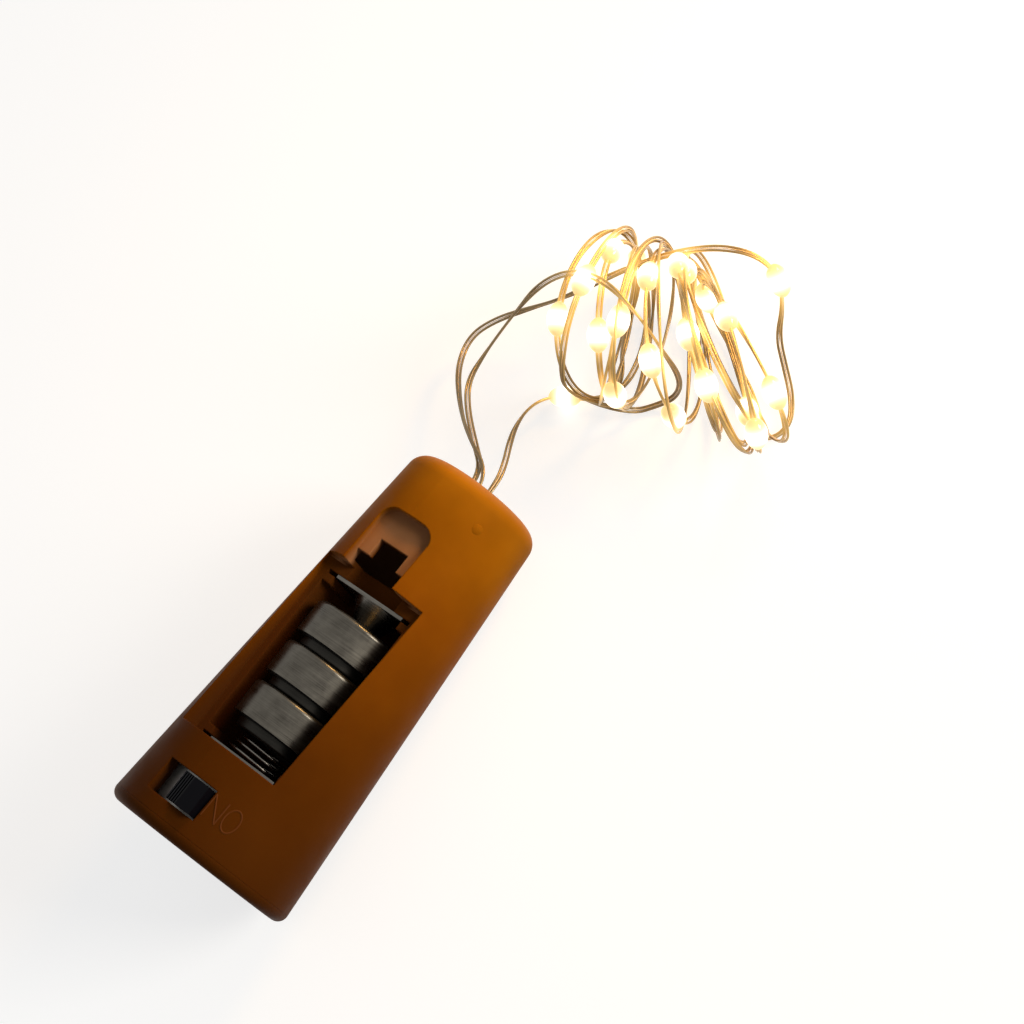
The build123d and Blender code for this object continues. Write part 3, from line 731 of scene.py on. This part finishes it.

# %% [markdown]
# ## Two conductors and their web
#
# The wire is two fine copper conductors side by side, each in clear varnish, with a thin amber web of
# varnish between them. A Geometry Nodes tree sweeps all three along the cord's line: it shifts the line to
# each side for the conductors and sweeps a flat strip for the web. The band twists slowly as it goes,
# which a tilt on the points gives, so that it shows now its flat side and now its edge. The tree also
# measures how near each point is to a light, and the finishes paint light from that: near a light, the
# copper's colour turns gold and the copper and the varnish glow gold, and right beside it the copper glows
# white as painted glare.
#
# Drawn copper under clear varnish is a brownish metal with a warm gloss, darker where it is stained.

# %% Copper
stain_size = 2.5 * mm
gold_focus = 2.0
gold_glow = 0.85
white_focus = 8.0
white_glow = 6.0
copper, tree, shader = start_material("varnished_copper", Metallic=0.65, Roughness=0.34, Coat_Weight=0.4)
place = add_node(tree, "ShaderNodeTexCoord").outputs["Object"]
stain = add_node(tree, "ShaderNodeTexNoise", {"Vector": place, "Scale": 1 / stain_size, "Detail": 3.0})
copper_tone = add_node(tree, "ShaderNodeMix", {
    "Factor": stain.outputs["Fac"], "A": linear("5a4222"), "B": linear("a28a56"),
}, data_type="RGBA")
# Painted light: near a drop the copper's colour turns gold and it glows, gold further out and white right
# beside it.
near = add_node(tree, "ShaderNodeAttribute", attribute_name="near_light").outputs["Fac"]
painted_gold_near_light = add_node(tree, "ShaderNodeMix", {
    "Factor": near, "A": copper_tone.outputs["Result"], "B": linear("c8a252"),
}, data_type="RGBA")
tree.links.new(painted_gold_near_light.outputs["Result"], shader.inputs["Base Color"])
white_share = add_node(tree, "ShaderNodeMath", {0: near, 1: white_focus}, operation="POWER").outputs[0]
glow_tone = add_node(tree, "ShaderNodeMix", {
    "Factor": white_share, "A": linear("e4b25c"), "B": linear("fff2d8"),
}, data_type="RGBA")
gold_share = add_node(tree, "ShaderNodeMath", {0: near, 1: gold_focus}, operation="POWER")
glare = add_node(tree, "ShaderNodeMath", {0: white_share, 1: white_glow}, operation="MULTIPLY")
painted_glow_strength = add_node(tree, "ShaderNodeMath", {
    0: gold_share.outputs[0], 1: gold_glow, 2: glare.outputs[0],
}, operation="MULTIPLY_ADD")
tree.links.new(glow_tone.outputs["Result"], shader.inputs["Emission Color"])
tree.links.new(painted_glow_strength.outputs[0], shader.inputs["Emission Strength"])
print("at a light, copper is", round(1 + white_glow / gold_glow, 1), "times as bright as its gold glow")

# %% Varnish
# Baked varnish is a thin amber skin, glossy and a little clear.
varnish_focus = 2.5
varnish_glow = 1.3
varnish, tree, shader = start_material("amber_varnish_web", Roughness=0.2, IOR=1.5, Alpha=0.88)
shader.inputs["Base Color"].default_value = linear("e3c184")
# Painted light: the varnish glows gold near a drop.
near = add_node(tree, "ShaderNodeAttribute", attribute_name="near_light").outputs["Fac"]
near_glow = add_node(tree, "ShaderNodeMath", {0: near, 1: varnish_focus}, operation="POWER")
painted_glow_strength = add_node(tree, "ShaderNodeMath", {
    0: near_glow.outputs[0], 1: varnish_glow,
}, operation="MULTIPLY")
shader.inputs["Emission Color"].default_value = linear("ffdf9c")
tree.links.new(painted_glow_strength.outputs[0], shader.inputs["Emission Strength"])


# %% Band sweeping tree
def build_band_tree():
    """Geometry Nodes that turn a line into two conductors with a web between them."""
    tree = bpy.data.node_groups.new("two_conductor_band", "GeometryNodeTree")
    sockets = tree.interface
    sockets.new_socket("Geometry", in_out="INPUT", socket_type="NodeSocketGeometry")
    for name in ("Conductor Radius", "Conductor Offset", "Web Width", "Web Thickness", "Light Reach"):
        sockets.new_socket(name, in_out="INPUT", socket_type="NodeSocketFloat")
    sockets.new_socket("Lights", in_out="INPUT", socket_type="NodeSocketObject")
    for name in ("Copper", "Varnish"):
        sockets.new_socket(name, in_out="INPUT", socket_type="NodeSocketMaterial")
    sockets.new_socket("Geometry", in_out="OUTPUT", socket_type="NodeSocketGeometry")
    given = add_node(tree, "NodeGroupInput").outputs
    normal = add_node(tree, "GeometryNodeInputNormal").outputs[0]
    round_profile = add_node(tree, "GeometryNodeCurvePrimitiveCircle", {
        "Resolution": 8, "Radius": given["Conductor Radius"],
    })
    flat_profile = add_node(tree, "GeometryNodeCurvePrimitiveQuadrilateral", {
        "Width": given["Web Thickness"], "Height": given["Web Width"],
    })
    joined = add_node(tree, "GeometryNodeJoinGeometry")
    for side in (-1, 1):
        distance = add_node(tree, "ShaderNodeMath", {
            0: given["Conductor Offset"], 1: side,
        }, operation="MULTIPLY")
        aside = add_node(tree, "ShaderNodeVectorMath", {
            0: normal, "Scale": distance.outputs[0],
        }, operation="SCALE")
        moved = add_node(tree, "GeometryNodeSetPosition", {
            "Geometry": given["Geometry"], "Offset": aside.outputs[0],
        })
        swept = add_node(tree, "GeometryNodeCurveToMesh", {
            "Curve": moved.outputs[0], "Profile Curve": round_profile.outputs[0], "Fill Caps": True,
        })
        dressed = add_node(tree, "GeometryNodeSetMaterial", {
            "Geometry": swept.outputs[0], "Material": given["Copper"],
        })
        tree.links.new(dressed.outputs[0], joined.inputs[0])
    web = add_node(tree, "GeometryNodeCurveToMesh", {
        "Curve": given["Geometry"], "Profile Curve": flat_profile.outputs[0], "Fill Caps": True,
    })
    dressed = add_node(tree, "GeometryNodeSetMaterial", {
        "Geometry": web.outputs[0], "Material": given["Varnish"],
    })
    tree.links.new(dressed.outputs[0], joined.inputs[0])
    lights = add_node(tree, "GeometryNodeObjectInfo", {"Object": given["Lights"]})
    gap = add_node(tree, "GeometryNodeProximity", {
        "Geometry": lights.outputs["Geometry"],
    }, target_element="POINTS")
    nearness = add_node(tree, "ShaderNodeMapRange", {
        "Value": gap.outputs["Distance"], "From Max": given["Light Reach"], "To Min": 1.0, "To Max": 0.0,
    })
    lit = add_node(tree, "GeometryNodeStoreNamedAttribute", {
        "Geometry": joined.outputs[0], "Name": "near_light", "Value": nearness.outputs[0],
    }, data_type="FLOAT", domain="POINT")
    real = add_node(tree, "GeometryNodeRealizeInstances", {"Geometry": lit.outputs[0]})
    result = add_node(tree, "NodeGroupOutput")
    tree.links.new(real.outputs[0], result.inputs[0])
    return tree


# %% Make the two cords
string_width = 0.75 * mm
conductor_radius = 0.14 * mm
web_thickness = 0.07 * mm
light_reach = 6.5 * mm
twist_length = 14 * mm
most_twist = 3.0
band_tree = build_band_tree()


def band_cord(name, line, twist_line):
    """The twin wire along a line of points, slowly twisting."""
    data = bpy.data.curves.new(name + "_line", "CURVE")
    data.dimensions = "3D"
    data.twist_mode = "MINIMUM"
    spline = data.splines.new("POLY")
    spline.points.add(len(line) - 1)
    travelled = 0.0
    for index, (point, place) in enumerate(zip(spline.points, line)):
        travelled += (place - line[max(index - 1, 0)]).length
        point.co = (*place, 1.0)
        point.tilt = most_twist * noise.noise(Vector((travelled / twist_length, twist_line, 0.0)))
    source = put_in_scene(name + "_line", data)
    modifier = source.modifiers.new("band", "NODES")
    modifier.node_group = band_tree
    set_inputs(modifier, {
        "Conductor Radius": conductor_radius,
        "Conductor Offset": string_width / 2 - conductor_radius,
        "Web Width": string_width - 3 * conductor_radius,
        "Web Thickness": web_thickness,
        "Light Reach": light_reach,
        "Lights": light_spots,
        "Copper": copper,
        "Varnish": varnish,
    })
    cord = baked_mesh(source, name)
    bpy.data.objects.remove(source)
    for polygon in cord.data.polygons:
        polygon.use_smooth = True
    print(name, "has", len(cord.data.polygons), "faces")
    return cord


light_string = band_cord("light_string", string_line, twist_line=3.1)
string_branch = band_cord("light_string_branch", branch_line, twist_line=8.7)
for spare in (string_curve, branch_curve, light_spots):
    bpy.data.objects.remove(spare)

# %% [markdown]
# The cords and the drops ride on the cork's body and stand for its imported solids, which are hidden.

# %% Hand the string to the frame
for cord in (light_string, string_branch):
    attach(cord, "cork")
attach(lit_drops, "cork")
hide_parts("string_lead_out", "string_coil", "string_lead_back")
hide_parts("string_branch")
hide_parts("led_drops", "led_chips")

# %% [markdown]
# ## Moulded lettering
#
# Beside the switch the mould left the word ON in thin raised lines, with the letters' heads towards the
# wide end. The lines are swept round the skin: each letter is a list of points in arc length and length
# along the cork, and the skin function bends them round the plastic. Their plastic is a plain brown, a
# little lighter than the skin beside them as a painted highlight along the raised lines, and duller.

# %% Raised lines on the skin
ridge_width = 0.2 * mm
ridge_height = 0.07 * mm
ridge_profile = ((-1.0, -0.3), (-0.75, 0.6), (0.0, 1.0), (0.75, 0.6), (1.0, -0.3))


def skin_line(shape, points, closed):
    """A low rounded ridge along points given as arc length and length along the cork."""
    rows = []
    count = len(points)
    for index, (arc, along) in enumerate(points):
        before = points[index - 1] if closed or index else points[0]
        after = points[(index + 1) % count] if closed or index < count - 1 else points[-1]
        run = Vector((after[0] - before[0], after[1] - before[1])).normalized()
        side = Vector((-run.y, run.x)) * ridge_width / 2
        row = []
        for across, lift in ridge_profile:
            place = on_skin(arc + across * side.x, along + across * side.y, lift * ridge_height)
            row.append(shape.verts.new(place))
        rows.append(row)
    pairs = list(zip(rows, rows[1:])) + ([(rows[-1], rows[0])] if closed else [])
    for here, there in pairs:
        for lower in range(len(ridge_profile)):
            upper = (lower + 1) % len(ridge_profile)
            shape.faces.new((here[lower], here[upper], there[upper], there[lower]))
    if not closed:
        shape.faces.new(rows[0])
        shape.faces.new(reversed(rows[-1]))


print("ridges", round(ridge_width / mm, 2), "mm wide")

# %% The word ON
letter_middle = 5.4 * mm
letter_height = 2.7 * mm
letter_o_arc = 6.7 * mm
letter_n_arc = 4.6 * mm
letter_width = 1.7 * mm
ring_steps = 28
stroke_steps = 6
lettering_mesh = bpy.data.meshes.new("on_lettering")
lettering = bmesh.new()
ring = []
for step in range(ring_steps):
    angle = 2 * math.pi * step / ring_steps
    arc = letter_o_arc + letter_width / 2 * math.cos(angle)
    ring.append((arc, letter_middle + letter_height / 2 * math.sin(angle)))
skin_line(lettering, ring, closed=True)
n_left = letter_n_arc + letter_width / 2
n_right = letter_n_arc - letter_width / 2
n_foot = letter_middle + letter_height / 2
n_head = letter_middle - letter_height / 2
for stroke in (
    [(n_left, n_foot), (n_left, n_head)],
    [(n_left, n_head), (n_right, n_foot)],
    [(n_right, n_foot), (n_right, n_head)],
):
    (arc_a, along_a), (arc_b, along_b) = stroke
    shares = [step / stroke_steps for step in range(stroke_steps + 1)]
    line = [(between(arc_a, arc_b, share), between(along_a, along_b, share)) for share in shares]
    skin_line(lettering, line, closed=False)
bmesh.ops.recalc_face_normals(lettering, faces=lettering.faces)
lettering.to_mesh(lettering_mesh)
lettering.free()
on_lettering = put_in_scene("on_lettering", lettering_mesh)
# A plain brown, a little lighter than the skin round it: a painted highlight on the raised lines.
lettering_painted_highlight = plain("lettering_polystyrene_highlight", "5e300c", 0.6, IOR=1.55, Specular_IOR_Level=0.06)
lettering_mesh.materials.append(lettering_painted_highlight)
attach(on_lettering, "cork")
print("lettering has", len(lettering_mesh.polygons), "faces")

# %% [markdown]
# ## Moulding mark
#
# Near the narrow end, on the right flank, the mould left a tiny round pip. It is a low dome on the skin,
# built from rings of points. Its last ring is wider and lies under the skin, so that no wall shows round
# the dome, and a face closes it there.

# %% Moulding pip
pip_radius = 0.6 * mm
pip_height = 0.1 * mm
pip_along = 45.6 * mm
pip_arc = cork_radius(pip_along) * math.pi / 4
pip_rings = ((0.4, 0.85), (0.75, 0.45), (1.0, 0.0), (1.6, -1.6))
pip_steps = 16
pip_mesh = bpy.data.meshes.new("moulding_pip")
pip = bmesh.new()
top = pip.verts.new(on_skin(pip_arc, pip_along, pip_height))
rings = []
for reach, lift in pip_rings:
    ring = []
    for step in range(pip_steps):
        angle = 2 * math.pi * step / pip_steps
        arc = pip_arc + reach * pip_radius * math.cos(angle)
        along = pip_along + reach * pip_radius * math.sin(angle)
        ring.append(pip.verts.new(on_skin(arc, along, lift * pip_height)))
    rings.append(ring)
for step in range(pip_steps):
    follower = (step + 1) % pip_steps
    pip.faces.new((top, rings[0][step], rings[0][follower]))
    for inner_ring, outer_ring in zip(rings, rings[1:]):
        pip.faces.new((inner_ring[step], outer_ring[step], outer_ring[follower], inner_ring[follower]))
pip.faces.new(rings[-1])
bmesh.ops.recalc_face_normals(pip, faces=pip.faces)
pip.to_mesh(pip_mesh)
pip.free()
for polygon in pip_mesh.polygons:
    polygon.use_smooth = len(polygon.vertices) < pip_steps
moulding_pip = put_in_scene("moulding_pip", pip_mesh)
pip_mesh.materials.append(cork_plastic)
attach(moulding_pip, "cork")
print("pip has", len(pip_mesh.polygons), "faces")

# %% [markdown]
# ## Floor and light
#
# The cork lies on a plain pale floor under soft studio light. One large lamp stands to the right and
# beyond the narrow end, so that end is bright and the wide end falls into shade. A small warm lamp past the
# string stands for the light that the string throws back on the cork, and the world fills the rest at a
# plain level. The camera sees the floor and the world as nearly white, and so do gloss, metal and the clear
# resin. The floor adds a little to what such rays see of it, and that extra lights nothing.

# %% Floor
def seen_share(tree):
    """One for a ray that looks at the background straight, in a reflection or through the resin."""
    rays = add_node(tree, "ShaderNodeLightPath").outputs
    mirrored = add_node(tree, "ShaderNodeMath", {
        0: rays["Is Glossy Ray"], 1: rays["Is Transmission Ray"],
    }, operation="MAXIMUM")
    return add_node(tree, "ShaderNodeMath", {
        0: rays["Is Camera Ray"], 1: mirrored.outputs[0],
    }, operation="MAXIMUM").outputs[0]


floor_lift = 0.72
floor_half = 1.5
floor_material, tree, shader = start_material("pale_floor", Roughness=0.9)
shader.inputs["Base Color"].default_value = linear("a8a8a8")
shader.inputs["Emission Color"].default_value = (1.0, 1.0, 1.0, 1.0)
lift = add_node(tree, "ShaderNodeMath", {0: seen_share(tree), 1: floor_lift}, operation="MULTIPLY")
tree.links.new(lift.outputs[0], shader.inputs["Emission Strength"])
floor_mesh = bpy.data.meshes.new("floor")
corners = [(x * floor_half, y * floor_half, 0) for x, y in ((-1, -1), (1, -1), (1, 1), (-1, 1))]
floor_mesh.from_pydata(corners, [], [(0, 1, 2, 3)])
floor_mesh.materials.append(floor_material)
floor = put_in_scene("floor", floor_mesh)
print("floor", round(2 * floor_half), "m wide")


# %% Lamps and world
def area_lamp(name, place, aim, size, power, colour):
    """A square soft lamp that looks at a point."""
    data = bpy.data.lights.new(name, "AREA")
    data.size = size
    data.energy = power
    data.color = linear(colour)[:3]
    lamp = put_in_scene(name, data)
    turned = (aim - place).to_track_quat("-Z", "Y").to_matrix().to_4x4()
    lamp.matrix_world = Matrix.Translation(place) @ turned
    print(name, "of", power, "W,", round((aim - place).length / mm), "mm away")


world_fill = 0.27
area_lamp("key_lamp", place=Vector((0.5, 0.36, 0.27)), aim=Vector((0, 0, 0.01)),
          size=0.26, power=3.5, colour="fff8ec")
area_lamp("string_glow", place=Vector((0.02, 0.1, 0.05)), aim=Vector((0, 0.01, 0.015)),
          size=0.02, power=0.07, colour="ffc870")
world = bpy.data.worlds.new("studio")
bpy.context.scene.world = world
world.use_nodes = True
tree = world.node_tree
background = tree.nodes["Background"]
background.inputs["Color"].default_value = (1.0, 1.0, 1.0, 1.0)
strength = add_node(tree, "ShaderNodeMapRange", {"Value": seen_share(tree), "To Min": world_fill})
tree.links.new(strength.outputs[0], background.inputs["Strength"])
bpy.context.scene.view_settings.view_transform = "Standard"
